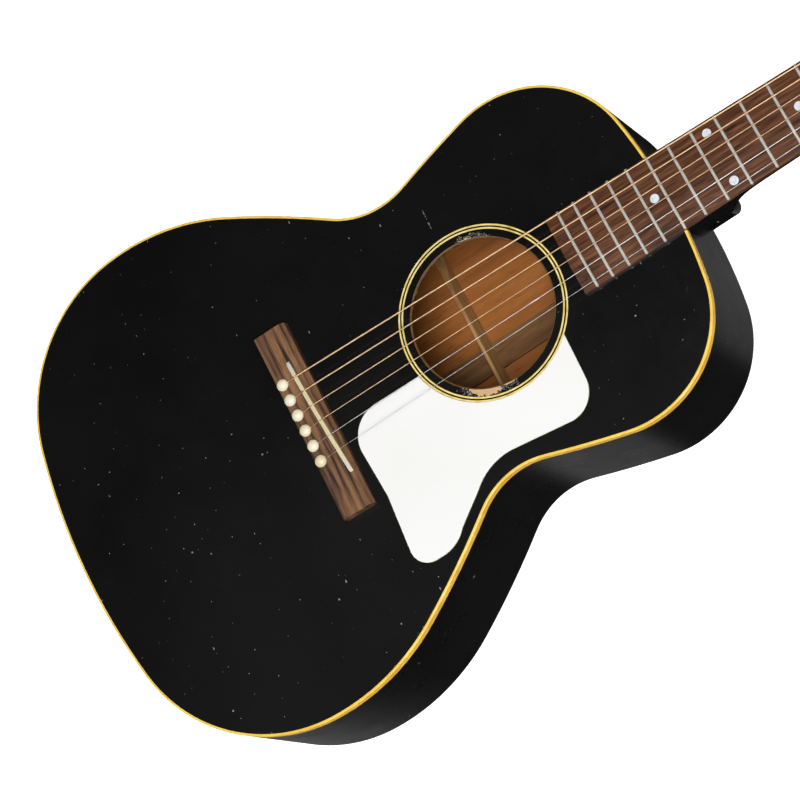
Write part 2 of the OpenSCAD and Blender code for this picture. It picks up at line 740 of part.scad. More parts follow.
module headstock_screws() color([0.72, 0.72, 0.7]) {
    on_headstock() cover_screw_places() translate([0, 0, head_face_t + cover_t + glue]) screw(9);
    each_plate() plate_screw_places() translate([0, 0, plate_z - glue]) mirror([0, 0, 1]) screw(8);
}

post_r = 3;
waist_r = 2.6;
post_top = 16.5;
string_hole_z = 11;
module string_post(n) color([0.75, 0.75, 0.73]) at_tuner(n) difference() {
    rotate_extrude() polygon([
        [0, gear_z - gear_t / 2 - 0.9], [2, gear_z - gear_t / 2 - 0.9], [2, gear_z + gear_t / 2 + 0.1],
        [post_r, gear_z + gear_t / 2 + 0.1], [post_r, 5], [waist_r, 5.6], [waist_r, 12.6], [post_r, 13.4],
        [post_r, post_top - 0.8], [post_r - 0.8, post_top], [0, post_top]
    ]);
    translate([-5, 0, string_hole_z]) rotate([0, 90, 0]) cylinder(r = 0.9, h = 10);
}

tooth_top = 0.5;
tooth_root = 0.62;
module gear_tooth() {
    base = gear_r - tooth_root - 0.4;
    tip = gear_r + tooth_top;
    translate([0, 0, -gear_t / 2]) linear_extrude(gear_t)
        polygon([[base, -0.62], [gear_r, -0.36], [tip, -0.17], [tip, 0.17], [gear_r, 0.36], [base, 0.62]]);
}
module tuner_gear(n) color([0.78, 0.62, 0.32]) at_tuner(n) translate([0, 0, gear_z]) difference() {
    union() {
        translate([0, 0, -gear_t / 2]) cylinder(r = gear_r - tooth_root, h = gear_t);
        for (i = [0:gear_teeth - 1]) rotate([0, 0, -90 + (i + 0.5) * 360 / gear_teeth]) gear_tooth();
    }
    translate([0, 0, -5]) cylinder(r = 2 + glue, h = 10);
}

// The worm: its section, square to the axis, is a disc with one lobe that winds along the shaft
thread_turns = 3.5;
thread_steps = 14;
worm_root = 1.62;
thread_top = 2.62;
crest_half = 38;   // half the crest's width and half the root's gap, as angles round the shaft
flank_end = 106;
thread_l = thread_turns * worm_pitch;
module worm_thread() {
    root_turn = 360 - 2 * flank_end;
    section = concat(
        [for (a = [-crest_half, -crest_half / 3, crest_half / 3, crest_half]) thread_top * [cos(a), sin(a)]],
        [for (i = [0:5]) let (a = flank_end + root_turn * i / 5) worm_root * [cos(a), sin(a)]]
    );
    translate([-thread_l / 2, 0, 0]) rotate([0, 90, 0])
        linear_extrude(thread_l, twist = -360 * thread_turns, slices = thread_turns * thread_steps, $fn = 0)
            rotate([0, 0, 90 - 180 * thread_turns]) polygon(section);
}

button_x = 17.5;
button_l = 17;
module worm_shaft(n) color([0.75, 0.75, 0.73]) at_tuner(n) translate([0, -worm_distance, gear_z]) {
    worm_thread();
    translate([-ear_x - 1.6, 0, 0]) rotate([0, 90, 0]) cylinder(r = shaft_r, h = button_x + ear_x + 8);
}

// A flat oval knob with a collar
module tuner_button(n) color([0.93, 0.88, 0.74]) at_tuner(n) translate([button_x, -worm_distance, gear_z])
    rotate([0, 90, 0]) difference() {
        union() {
            cylinder(r1 = 3.4, r2 = 2.9, h = 4);
            translate([0, 0, 3.6]) rotate([90, 0, 0]) translate([0, 0, -3.1]) linear_extrude(6.2)
                polygon(concat(
                    sweep_arc([0, 6.9], 8.6, 24, 156),
                    sweep_arc([-3.2, 5.6], 5.6, 150, 262),
                    sweep_arc([3.2, 5.6], 5.6, -82, 30)
                ));
        }
        translate([0, 0, -1]) cylinder(r = shaft_r + glue, h = 9.2);
    }

// ---- Strings ----
coil_turns = [3, 3, 4, 4, 5, 6];
function coil_top(n) = string_hole_z - 1.1;
function coil_base(n) = coil_top(n) - coil_turns[n - 1] * gauges[n - 1];
coil_gap = 0.06;
function coil_mid_r(n) = waist_r + coil_gap + gauges[n - 1] / 2;
// A point of the headstock's frame, in the guitar's frame
function head_to_row(p) = [
    p[0],
    nut_y + nut_t + p[1] * cos(head_angle) + p[2] * sin(head_angle),
    top_z - p[1] * sin(head_angle) + p[2] * cos(head_angle)
];
function post_place(n) = [
    tuner_side(n) * (first_post[0] + tuner_step(n) * post_pitch * sin(splay)),
    first_post[1] + tuner_step(n) * post_pitch * cos(splay)
];
// Where the string meets the inner side of its coil, in the headstock's frame
function coil_touch(n) = [
    post_place(n)[0] - tuner_side(n) * coil_mid_r(n) * cos(20),
    post_place(n)[1] - coil_mid_r(n) * sin(20),
    coil_base(n) + gauges[n - 1] / 2
];

saddle_point = 3;
nut_point = 4;
string_lift = 0.08;  // the string's clearance over the bridge where it leaves its hole
function string_points(n) =
    let (r = gauges[n - 1] / 2, xs = pin_x(n), xn = nut_x(n))
    [
        [pin_x(n), pins_y + 4.6, top_z - ball_drop],
        [pin_x(n), pins_y + pin_string_gap, top_z - ball_drop],
        [pin_x(n), pins_y + pin_string_gap, top_z + bridge_h + r + string_lift],
        [xs, saddle_y_at(xs), crown_z(xs) + r - 0.1],
        [xn, nut_y + 1.6, nut_slot_at(xn) + r],
        head_to_row(coil_touch(n))
    ];

// A straight stretch of string, a little long at both ends so that it meets the next one round the bend
module rod(a, b, r) {
    d = b - a;
    over = 0.4 * r;
    translate(a) rotate([0, acos(d[2] / norm(d)), atan2(d[1], d[0])]) translate([0, 0, -over])
        cylinder(r = r, h = norm(d) + 2 * over, $fn = 24);
}

// The two straight stretches of a string that meet at point i of its path
module string_bend(n, i, r) {
    p = string_points(n);
    rod(p[i - 1], p[i], r);
    rod(p[i], p[i + 1], r);
}

module string_line(n, r) {
    p = string_points(n);
    for (i = [0:len(p) - 2]) rod(p[i], p[i + 1], r);
}

module string(n) color(n <= 4 ? [0.75, 0.5, 0.3] : [0.8, 0.8, 0.8]) {
    g = gauges[n - 1];
    outer = waist_r + coil_gap + g;
    base = coil_base(n);
    string_line(n, g / 2);
    translate(string_points(n)[0]) rotate([0, 90, 0]) translate([0, 0, -1.7]) cylinder(r = 1.95, h = 3.4);
    on_headstock() translate([post_place(n)[0], post_place(n)[1], 0]) rotate_extrude() polygon(concat(
        [[waist_r + coil_gap, coil_top(n)], [waist_r + coil_gap, base]],
        [for (i = [0:coil_turns[n - 1] - 1]) each [
            [outer - g * 0.3, base + g * i], [outer, base + g * (i + 0.3)], [outer, base + g * (i + 0.7)]
        ]],
        [[outer - g * 0.3, coil_top(n)]]
    ));
}

soundboard();
back_plate();
side_bass();
side_treble();
top_binding();
neck_block();
tail_block();
linings();
top_braces();
bridge_plate();
back_braces();
back_centre_strip();
rosette();
pickguard();
bridge();
saddle();
bridge_pins();
end_pin();
neck();
fingerboard();
frets();
position_dots();
nut();
headstock_veneer();
truss_rod();
truss_rod_nut();
truss_rod_cover();
tuner_plates();
tuner_bushings();
headstock_screws();
for (n = [1:6]) {
    string(n);
    tuner_button(n);
    worm_shaft(n);
    tuner_gear(n);
    string_post(n);
}
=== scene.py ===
"""A black flat-top acoustic guitar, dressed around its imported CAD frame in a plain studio.

Metres throughout. +X is the treble side, +Y runs to the headstock and +Z out of the soundboard."""
import math

import bmesh
import bpy
from mathutils import Matrix, Vector


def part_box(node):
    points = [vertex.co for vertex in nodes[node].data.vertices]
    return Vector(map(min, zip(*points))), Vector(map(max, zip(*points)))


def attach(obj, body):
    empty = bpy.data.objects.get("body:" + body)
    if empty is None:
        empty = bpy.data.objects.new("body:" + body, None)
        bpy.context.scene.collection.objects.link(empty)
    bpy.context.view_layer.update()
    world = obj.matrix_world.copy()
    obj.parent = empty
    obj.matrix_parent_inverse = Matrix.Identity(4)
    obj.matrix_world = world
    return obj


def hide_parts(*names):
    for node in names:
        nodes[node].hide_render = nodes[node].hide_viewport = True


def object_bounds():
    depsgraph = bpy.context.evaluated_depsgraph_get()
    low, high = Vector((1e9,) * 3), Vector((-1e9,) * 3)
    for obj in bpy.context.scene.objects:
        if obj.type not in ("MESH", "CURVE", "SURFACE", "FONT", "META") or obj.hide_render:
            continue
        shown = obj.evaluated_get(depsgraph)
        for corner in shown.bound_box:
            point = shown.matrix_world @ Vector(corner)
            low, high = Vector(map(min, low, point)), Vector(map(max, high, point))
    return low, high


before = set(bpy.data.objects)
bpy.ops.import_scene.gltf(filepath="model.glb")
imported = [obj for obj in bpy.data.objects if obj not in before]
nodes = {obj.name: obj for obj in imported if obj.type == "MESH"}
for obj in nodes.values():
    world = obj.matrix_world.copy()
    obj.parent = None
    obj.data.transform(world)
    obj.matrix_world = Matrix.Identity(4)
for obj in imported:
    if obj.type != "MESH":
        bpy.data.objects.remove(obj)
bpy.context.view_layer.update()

MM = 0.001

# ---- Places read from the frame ----
top_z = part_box("soundboard")[1].z
near_top = top_z - 0.1 * MM
ring_lo, ring_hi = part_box("rosette")
hole = Vector(((ring_lo.x + ring_hi.x) / 2, (ring_lo.y + ring_hi.y) / 2, top_z))
ring_r = (ring_hi.x - ring_lo.x) / 2
ring_to_hole = 9.7 * MM
hole_r = ring_r - ring_to_hole
pin_count = 6
pin_head_r = 4.4 * MM
pin_pitch = (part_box("bridge_pins")[1].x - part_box("bridge_pins")[0].x - 2 * pin_head_r) / (pin_count - 1)


# ---- Camera ----
def direction(azimuth, elevation):
    """A unit vector from angles in degrees: azimuth 0 points to the tail and 90 to the treble side."""
    a, e = math.radians(azimuth), math.radians(elevation)
    return Vector((math.sin(a) * math.cos(e), -math.cos(a) * math.cos(e), math.sin(e)))


def add_camera():
    """The photograph's viewpoint: over the treble side of the neck, aimed between the hole and the bridge."""
    aim = hole + Vector((21.2 * MM, -79.7 * MM, 0))
    back = direction(127.53, 65.44)
    distance = 2.0151
    roll = math.radians(-67.54)
    data = bpy.data.cameras.new("camera")
    data.lens = 132.93
    data.sensor_width = 36
    camera = bpy.data.objects.new("camera", data)
    bpy.context.scene.collection.objects.link(camera)
    turn = (-back).to_track_quat("-Z", "Y").to_matrix() @ Matrix.Rotation(roll, 3, "Z")
    camera.matrix_world = Matrix.Translation(aim + back * distance) @ turn.to_4x4()
    bpy.context.scene.camera = camera


# ---- Node trees ----
class Shader:
    """A procedural material, built from short calls that each return an output socket."""

    def __init__(self, name):
        self.material = bpy.data.materials.new(name)
        self.material.use_nodes = True
        self.tree = self.material.node_tree
        self.bsdf = self.tree.nodes["Principled BSDF"]
        self.coordinates = self.tree.nodes.new("ShaderNodeTexCoord")
        self.place = self.coordinates.outputs["Object"]
        self.normal = self.coordinates.outputs["Normal"]

    def put(self, socket, value):
        if isinstance(value, bpy.types.NodeSocket):
            self.tree.links.new(value, socket)
        elif hasattr(socket.default_value, "__len__") and len(socket.default_value) == 4:
            socket.default_value = (*value, 1)
        else:
            socket.default_value = value

    def add(self, kind, inputs, **settings):
        node = self.tree.nodes.new(kind)
        for key, value in settings.items():
            setattr(node, key, value)
        for key, value in inputs.items():
            self.put(node.inputs[key], value)
        return node

    def finish(self, **inputs):
        """Sets the surface: base_color, roughness, metallic and so on, by the shader's own socket names."""
        for key, value in inputs.items():
            self.put(self.bsdf.inputs[key.replace("_", " ").title()], value)
        return self.material

    def stretch(self, scale=(1, 1, 1), offset=(0, 0, 0), turn=(0, 0, 0), place=None):
        inputs = {"Vector": place or self.place, "Scale": scale, "Location": offset, "Rotation": turn}
        return self.add("ShaderNodeMapping", inputs).outputs["Vector"]

    def noise(self, scale, detail=2.0, roughness=0.5, place=None, distortion=0.0, output="Fac"):
        inputs = {"Vector": place or self.place, "Scale": scale, "Detail": detail,
                  "Roughness": roughness, "Distortion": distortion}
        return self.add("ShaderNodeTexNoise", inputs).outputs[output]

    def cells(self, scale, place, dimensions="3D"):
        """The distance to the nearest point of a loose grid, and three random numbers for its cell."""
        inputs = {"Vector": place, "Scale": scale}
        node = self.add("ShaderNodeTexVoronoi", inputs, voronoi_dimensions=dimensions)
        return node.outputs["Distance"], self.split(node.outputs["Color"])

    def ramp(self, value, stops):
        """Stops are (position, level or colour)."""
        node = self.add("ShaderNodeValToRGB", {"Fac": value})
        ramp = node.color_ramp
        while len(ramp.elements) < len(stops):
            ramp.elements.new(1)
        for element, (position, colour) in zip(ramp.elements, stops):
            element.position = position
            element.color = (*colour, 1) if hasattr(colour, "__len__") else (colour, colour, colour, 1)
        return node.outputs["Color"]

    def mix(self, factor, a, b):
        node = self.add("ShaderNodeMix", {}, data_type="RGBA")
        colour_factor, colour_a, colour_b, colour_result = 0, 6, 7, 2
        self.put(node.inputs[colour_factor], factor)
        self.put(node.inputs[colour_a], a)
        self.put(node.inputs[colour_b], b)
        return node.outputs[colour_result]

    def math(self, operation, a, b=0.0):
        return self.add("ShaderNodeMath", {0: a, 1: b}, operation=operation).outputs[0]

    def times(self, first, *others):
        for other in others:
            first = self.math("MULTIPLY", first, other)
        return first

    def plus(self, a, b):
        return self.math("ADD", a, b)

    def minus(self, a, b):
        return self.math("SUBTRACT", a, b)

    def over(self, a, b):
        return self.math("DIVIDE", a, b)

    def either(self, a, b):
        return self.math("MAXIMUM", a, b)

    def above(self, a, limit):
        return self.math("GREATER_THAN", a, limit)

    def below(self, a, limit):
        return self.math("LESS_THAN", a, limit)

    def off_by(self, a, b):
        return self.math("ABSOLUTE", self.minus(a, b))

    def vector_math(self, operation, a, b):
        return self.add("ShaderNodeVectorMath", {0: a, 1: b}, operation=operation).outputs[0]

    def split(self, vector):
        node = self.add("ShaderNodeSeparateXYZ", {"Vector": vector})
        return node.outputs["X"], node.outputs["Y"], node.outputs["Z"]

    def bump(self, height, strength, distance=0.1 * MM):
        inputs = {"Height": height, "Strength": strength, "Distance": distance}
        return self.add("ShaderNodeBump", inputs).outputs["Normal"]


# ---- Lacquer ----
def flat_place(s, standing):
    """Places on the lacquer as flat coordinates, so that a chip is a whole chip: plan, or round the sides."""
    x, y, z = s.split(s.place)
    if standing:
        x, y = s.plus(x, y), z
    return s.add("ShaderNodeCombineXYZ", {"X": x, "Y": y, "Z": 0.0}).outputs["Vector"]


def specks(s, scale, radius, share, place):
    """0 off a chip and 0.35 or more on one. A share of the cells of a loose grid hold one small chip each."""
    shake = 0.9 * MM
    ragged = s.vector_math("MULTIPLY", s.noise(900, place=place, output="Color"), (shake, shake, 0))
    distance, (pick, glow, size) = s.cells(scale, s.vector_math("ADD", place, ragged), "2D")
    limit = s.times(s.plus(s.times(size, size), 0.3), radius * scale)
    shown = s.times(s.below(distance, limit), s.below(pick, share))
    return s.times(shown, s.plus(glow, 0.35))


def black_lacquer(name, worn_hole=False, standing=False):
    """Old black nitrocellulose: glossy, with the grain just showing through and pale pinhead chips."""
    s = Shader(name)
    tone = s.ramp(s.noise(9, 4), [(0.3, (0.0042, 0.0042, 0.0043)), (0.75, (0.0072, 0.0070, 0.0068))])
    plan = flat_place(s, standing)
    chips = s.either(specks(s, 78, 0.34 * MM, 0.38, plan), specks(s, 34, 0.58 * MM, 0.18, plan))
    drawn_out = s.stretch((0.45, 1.3, 1), turn=(0, 0, 0.5), place=plan)
    chips = s.either(chips, specks(s, 48, 0.42 * MM, 0.22, drawn_out))
    colour = s.mix(chips, tone, (0.30, 0.28, 0.235))
    smoothest, roughest = (0.25, 0.33) if standing else (0.15, 0.24)
    polish = s.ramp(s.noise(30, 5, 0.65), [(0.3, smoothest), (0.7, roughest)])
    grain = s.noise(1, 3, 0.5, s.stretch((900, 8, 900)))
    height = s.minus(s.times(grain, 0.3), chips)
    if worn_hole:
        worn, cracked = hole_wear(s)
        wood = s.mix(s.noise(1, 3, 0.5, s.stretch((1500, 60, 400))), (0.50, 0.29, 0.13), (0.72, 0.49, 0.27))
        colour = s.mix(cracked, s.mix(worn, colour, wood), (0.36, 0.34, 0.31))
        # A pale dotted crack, and the grey line at the hole's edge, which is partly wear and partly painted
        # highlight.
        colour = s.mix(s.either(dotted_crack(s), worn_and_lit_hole_line(s)), colour, (0.40, 0.39, 0.36))
        polish = s.mix(worn, polish, (0.6, 0.6, 0.6))
        height = s.minus(height, s.times(worn, 1.5))
    s.bsdf.inputs["Specular IOR Level"].default_value = 0.45
    return s.finish(base_color=colour, roughness=polish, normal=s.bump(height, 0.35))


def about_hole(s):
    """A place measured from the soundhole's centre, its x, y and z, and its distance from the hole's axis."""
    place = s.stretch(offset=tuple(-hole))
    x, y, z = s.split(place)
    return place, x, y, z, s.math("SQRT", s.plus(s.times(x, x), s.times(y, y)))


def hole_wear(s):
    """Wear by picks and fingers at the soundhole's edge: bare wood, and crazed lacquer round it."""
    place, _, _, z, radius = about_hole(s)
    blotch = s.noise(330, 5, 0.62)
    fine = s.noise(1100, 4, 0.7)

    def patch(centre, half_turn, reach, ragged):
        """Falls from 1 at a place on the edge to 0 at half_turn degrees round it or at reach out from it."""
        ahead, aside, _ = s.split(s.stretch(turn=(0, 0, -math.radians(centre)), place=place))
        round_it = s.over(s.math("ARCTAN2", aside, ahead), math.radians(half_turn))
        out = s.over(s.minus(radius, hole_r), reach)
        away = s.plus(s.times(round_it, round_it), s.times(out, out))
        return s.plus(s.minus(1, away), s.times(s.minus(blotch, 0.5), ragged))

    big = s.either(patch(-26, 17, 6.4 * MM, 2.2), patch(-6, 12, 2 * MM, 2.5))
    small = patch(164, 11, 2.6 * MM, 3.4)
    bare = s.either(s.above(big, 0.28), s.above(small, 0.5))
    wide = s.either(patch(-24, 31, 7.5 * MM, 2.5), patch(162, 19, 5.2 * MM, 2.5))
    cracked = s.times(s.above(wide, 0.3), s.above(fine, 0.56))
    rim = s.times(s.below(radius, hole_r + 0.6 * MM), s.above(fine, 0.47))
    rim = s.times(rim, s.above(patch(195, 34, 3 * MM, 1), 0.3))
    cracked = s.times(s.either(cracked, rim), s.minus(1, bare))
    on_face = s.above(z, -1.2 * MM)
    return s.times(bare, on_face), s.times(cracked, on_face)


def dotted_crack(s):
    """A short crack in the lacquer on the bass side of the soundhole, which shows as a row of pale dots."""
    middle = hole + Vector((-78 * MM, -4.2 * MM, 0))
    half_width, half_length, wander = 0.26 * MM, 9 * MM, 1.2 * MM
    x, y, _ = s.split(s.stretch(offset=tuple(-middle)))
    near = s.below(s.off_by(y, s.times(s.noise(90), wander)), half_width)
    along = s.below(s.math("ABSOLUTE", x), half_length)
    dots = s.above(s.noise(1, 1, 0.5, s.stretch((1700, 300, 300))), 0.56)
    return s.times(near, along, dots)


def worn_and_lit_hole_line(s):
    """A grey line along the soundhole's edge and wall towards the tail and the bass side: partly worn
    lacquer, partly a painted highlight on the wall where the light falls.
    """
    _, x, y, z, radius = about_hole(s)
    line = s.below(radius, hole_r + 0.15 * MM)
    side = s.below(s.plus(x, s.times(y, -0.4)), -12 * MM)
    broken = s.ramp(s.noise(260, 3), [(0.42, 0.0), (0.52, 0.5)])
    return s.times(line, side, s.times(broken, s.above(z, -2.2 * MM)))


# ---- Other materials ----
def streaked_wood(name, dark, mid, light, along, band, contrast=0.5, roughness=0.42, pores=0.6, gloss=0.5):
    """Wood with its grain along X or Y: bands of colour, fine fibres and short open pores."""
    s = Shader(name)
    lengthways = {"X": (0.06, 1, 1), "Y": (1, 0.06, 1)}[along]

    def drawn_out(finest):
        return s.stretch(tuple(k * finest for k in lengthways))

    figure = s.noise(1, 4, 0.55, s.stretch(tuple(k / band for k in lengthways)), 0.35)
    fibres = s.noise(1, 3, 0.6, drawn_out(1700))
    darkest = 0.5 - 0.22 * (1 - contrast) - 0.13
    tone = s.ramp(figure, [(darkest, dark), (0.5, mid), (0.7, light)])
    tone = s.mix(s.ramp(fibres, [(0.3, 0.0), (0.7, 0.45)]), tone, dark)
    distance, (pick, _, _) = s.cells(1, drawn_out(950))
    pore = s.times(s.below(distance, 0.24), s.below(pick, pores))
    tone = s.mix(s.times(pore, 0.7), tone, tuple(c * 0.35 for c in dark))
    height = s.minus(s.times(fibres, 0.4), pore)
    rough = s.ramp(s.noise(60, 3), [(0.3, roughness - 0.06), (0.7, roughness + 0.08)])
    s.bsdf.inputs["Specular IOR Level"].default_value = gloss
    return s.finish(base_color=tone, roughness=rough, normal=s.bump(height, 0.5))


def binding_plastic(name):
    """Celluloid yellowed with age and blotched along its length, with painted shade that makes its upright
    outer face a darker, deeper amber than its top.
    """
    s = Shader(name)
    _, _, upward = s.split(s.normal)
    age = s.noise(55, 4, 0.6)
    top = s.ramp(age, [(0.3, (0.82, 0.50, 0.04)), (0.7, (0.93, 0.68, 0.12))])
    outer = s.ramp(age, [(0.3, (0.60, 0.29, 0.012)), (0.7, (0.80, 0.45, 0.03))])
    streak = s.ramp(s.noise(240, 3), [(0.55, 0.0), (0.75, 0.3)])
    # Painted shade: faces that turn away from up take the darker outer colour, and the top takes the lighter
    # one.
    colour = s.mix(s.ramp(upward, [(0.4, 0.0), (0.8, 1.0)]), outer, top)
    colour = s.mix(streak, colour, (0.93, 0.82, 0.5))
    return s.finish(base_color=colour, roughness=0.32, normal=s.bump(s.noise(400, 3), 0.12))


def rosette_plastic(name):
    """The rosette's celluloid rings, in blotches from amber to cream."""
    s = Shader(name)
    age = s.noise(160, 4, 0.6)
    colour = s.ramp(age, [(0.25, (0.46, 0.30, 0.06)), (0.45, (0.80, 0.61, 0.17)), (0.7, (0.92, 0.80, 0.38))])
    return s.finish(base_color=colour, roughness=0.36, normal=s.bump(s.noise(900, 3), 0.25))


def guard_plastic(name):
    """White celluloid with the faint marks of picks across it, and painted shade that makes its upright cut
    edge a darker green-yellow.
    """
    s = Shader(name)
    tone = s.ramp(s.noise(14, 3), [(0.3, (0.885, 0.88, 0.86)), (0.7, (0.905, 0.905, 0.895))])
    marks = s.noise(1, 2, 0.5, s.stretch((2400, 40, 300), turn=(0, 0, 0.9)))
    marks = s.ramp(marks, [(0.66, 0.0), (0.72, 1.0)])
    colour = s.mix(s.times(marks, 0.12), tone, (0.70, 0.69, 0.64))
    _, _, upward = s.split(s.normal)
    # Painted shade: faces that turn away from up are darkened to green-yellow.
    colour = s.mix(s.ramp(upward, [(0.35, 1.0), (0.85, 0.0)]), colour, (0.62, 0.66, 0.33))
    rough = s.plus(s.times(marks, 0.15), 0.22)
    return s.finish(base_color=colour, roughness=rough, normal=s.bump(marks, 0.05))


def bone(name, middle, ends):
    """Old bone: creamy where the strings have stained it, paler near the ends, with fine vertical fibres."""
    s = Shader(name)
    x, _, _ = s.split(s.place)
    away = s.over(s.off_by(x, middle), ends)
    pale = s.ramp(s.plus(away, s.times(s.noise(150, 3), 0.5)), [(0.9, 0.0), (1.0, 1.0)])
    fibre = s.noise(1, 3, 0.5, s.stretch((1500, 1500, 150)))
    tone = s.mix(fibre, (0.62, 0.53, 0.29), (0.74, 0.65, 0.40))
    tone = s.mix(pale, tone, (0.60, 0.60, 0.50))
    return s.finish(base_color=tone, roughness=0.4, normal=s.bump(fibre, 0.2))


def cream_plastic(name):
    """Cream plastic whose tone differs a little from one pin to the next along X."""
    s = Shader(name)
    x, _, _ = s.split(s.place)
    piece = s.math("FLOOR", s.over(x, pin_pitch))
    own = s.add("ShaderNodeTexWhiteNoise", {"W": piece}, noise_dimensions="1D").outputs["Value"]
    cast = s.plus(s.times(own, 0.75), s.times(s.noise(300, 3), 0.35))
    tone = s.ramp(cast, [(0.15, (0.90, 0.82, 0.62)), (0.6, (0.86, 0.77, 0.55)), (0.95, (0.80, 0.68, 0.40))])
    return s.finish(base_color=tone, roughness=0.24, normal=s.bump(s.noise(900), 0.06))


def metal(name, colour, tarnish, roughness=0.28, scratches=(1200, 40, 1200), metallic=1.0):
    """Metal tarnished in patches, with fine scratches drawn out along one axis."""
    s = Shader(name)
    grey = s.ramp(s.noise(220, 4, 0.65), [(0.35, colour), (0.75, tarnish)])
    lines = s.noise(1, 3, 0.6, s.stretch(scratches))
    rough = s.plus(s.times(lines, 0.2), roughness - 0.1)
    return s.finish(base_color=grey, metallic=metallic, roughness=rough, normal=s.bump(lines, 0.12))


def wound_wire(name, pitch):
    """Bronze winding: fine turns along the string, with painted shade darkening the grooves between them a
    little.
    """
    s = Shader(name)
    _, y, _ = s.split(s.place)
    turns = s.math("SINE", s.times(y, math.tau / pitch))
    # Painted shade in the grooves between the turns.
    groove_shade = s.ramp(turns, [(0.0, 0.55), (0.5, 0.0)])
    worn = s.mix(s.noise(70, 3), (0.92, 0.60, 0.34), (0.97, 0.72, 0.46))
    colour = s.mix(groove_shade, worn, (0.42, 0.22, 0.10))
    return s.finish(base_color=colour, metallic=0.9, roughness=0.42, normal=s.bump(turns, 0.4, 0.04 * MM))


def pearl(name):
    """Mother of pearl: pale blue and rose clouds under a clear coat."""
    s = Shader(name)
    cloud = s.noise(260, 4, 0.6, distortion=1.2)
    sheen = s.noise(1, 2, 0.5, s.stretch((500, 1900, 500), turn=(0, 0, 0.6)))
    tone = s.ramp(cloud, [(0.3, (0.50, 0.58, 0.70)), (0.5, (0.70, 0.74, 0.80)), (0.7, (0.84, 0.83, 0.84))])
    tone = s.mix(s.times(sheen, 0.3), tone, (0.80, 0.88, 0.92))
    return s.finish(base_color=tone, roughness=0.2, coat_weight=0.4, normal=s.bump(sheen, 0.05))


def studio_white(name):
    """The backdrop, which glows so that it prints as white."""
    s = Shader(name)
    tone = s.ramp(s.noise(3), [(0.3, (0.86, 0.86, 0.86)), (0.7, (0.88, 0.88, 0.88))])
    return s.finish(base_color=tone, roughness=0.9, emission_color=(1, 1, 1), emission_strength=1.0)


# ---- Which node wears what ----
def dress(material, *names):
    for name in names:
        mesh = nodes[name].data
        mesh.materials.clear()
        mesh.materials.append(material)


def dress_two_ways(name, inner, outer, is_outer):
    """One material on a shell's faces that look out of the body, another on the rest."""
    mesh = nodes[name].data
    mesh.materials.clear()
    mesh.materials.append(inner)
    mesh.materials.append(outer)
    for face in mesh.polygons:
        face.material_index = 1 if is_outer(face) else 0


def per_string(stem):
    return [f"{stem}_{n}" for n in range(1, 7)]


def dress_wood():
    mahogany = streaked_wood("mahogany", (0.15, 0.045, 0.007), (0.34, 0.115, 0.020), (0.46, 0.18, 0.040),
                             "Y", 20 * MM, roughness=0.55, pores=0.15, gloss=0.3)
    spruce = streaked_wood("spruce", (0.10, 0.042, 0.011), (0.165, 0.075, 0.022), (0.21, 0.105, 0.035),
                           "Y", 4 * MM, roughness=0.7, pores=0.2, gloss=0.3)
    brace_spruce = streaked_wood("brace spruce",
                                 (0.24, 0.12, 0.040), (0.40, 0.215, 0.075), (0.50, 0.29, 0.11),
                                 "X", 3 * MM, roughness=0.7, pores=0.2, gloss=0.3)
    maple = streaked_wood("maple", (0.34, 0.2, 0.1), (0.5, 0.33, 0.17), (0.56, 0.4, 0.22),
                          "X", 10 * MM, pores=0.1)
    bridge_wood = streaked_wood("bridge rosewood", (0.030, 0.016, 0.011), (0.22, 0.110, 0.055),
                                (0.37, 0.185, 0.085), "X", 3.6 * MM, contrast=0.85, gloss=0.3)
    board_wood = streaked_wood("fingerboard rosewood", (0.020, 0.007, 0.003), (0.125, 0.046, 0.019),
                               (0.23, 0.092, 0.040), "Y", 2.2 * MM, contrast=0.7, roughness=0.45, pores=0.8,
                               gloss=0.25)
    lacquer = black_lacquer("black lacquer")
    side_lacquer = black_lacquer("black lacquer sides", standing=True)
    top_lacquer = black_lacquer("black lacquer top", worn_hole=True)
    dress_two_ways("soundboard", spruce, top_lacquer, lambda f: f.normal.z > -0.5)
    dress_two_ways("back_plate", mahogany, lacquer, lambda f: f.normal.z < 0.5)
    dress_two_ways("side_treble", mahogany, side_lacquer, lambda f: f.normal.x > 0)
    dress_two_ways("side_bass", mahogany, side_lacquer, lambda f: f.normal.x < 0)
    dress(lacquer, "neck", "headstock_veneer", "truss_rod_cover")
    dress(mahogany, "neck_block", "tail_block", "linings")
    dress(spruce, "top_braces", "back_centre_strip")
    dress(brace_spruce, "back_braces")
    dress(maple, "bridge_plate")
    dress(bridge_wood, "bridge")
    dress(board_wood, "fingerboard")


def dress_plastic_and_bone():
    saddle_lo, saddle_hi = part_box("saddle")
    dress(binding_plastic("binding"), "top_binding")
    dress(rosette_plastic("rosette"), "rosette")
    dress(guard_plastic("white guard"), "pickguard")
    dress(cream_plastic("cream plastic"), "bridge_pins", "end_pin", *per_string("tuner_button"))
    dress(pearl("pearl"), "position_dots")
    dress(bone("bone nut", 0.0, 30 * MM), "nut")
    dress(bone("bone saddle", (saddle_lo.x + saddle_hi.x) / 2, 53 * MM), "saddle")


